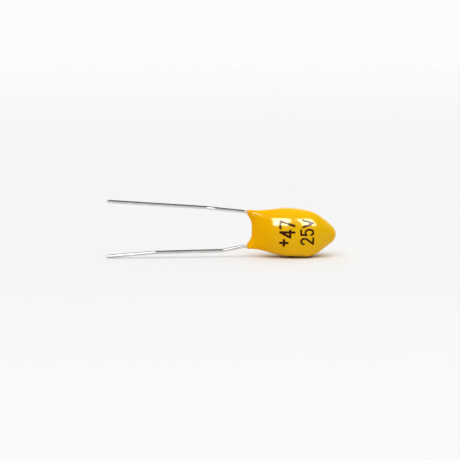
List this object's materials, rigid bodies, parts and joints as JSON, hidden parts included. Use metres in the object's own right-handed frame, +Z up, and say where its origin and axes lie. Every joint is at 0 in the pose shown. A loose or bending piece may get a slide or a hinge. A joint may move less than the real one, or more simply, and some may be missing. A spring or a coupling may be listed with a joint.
{
  "type": "tantalum capacitor",
  "caption": "Epoxy-dipped radial tantalum capacitor: a yellow pointed bead with hand-bent tinned wire leads, lying on its edge.",
  "frame": {"origin": "on the resting surface, under the middle of the length and width", "axes": "+Z up from the resting surface; +X from the lead ends towards the bead's tip; the leads lie in the XZ plane"},
  "size_m": [0.0336, 0.0064, 0.0086],
  "materials": {
    "epoxy": "gloss",
    "tinned_wire": "satin",
    "silvered_tantalum": "matte",
    "tantalum_wire": "satin",
    "washer_plastic": "matte",
    "solder": "satin"
  },
  "bodies": {
    "root": {"epoxy_coat": "epoxy", "positive_lead": "tinned_wire", "negative_lead": "tinned_wire", "anode_pellet": "silvered_tantalum", "riser_wire": "tantalum_wire", "riser_washer": "washer_plastic", "cathode_solder": "solder"}
  },
  "joints": []
}
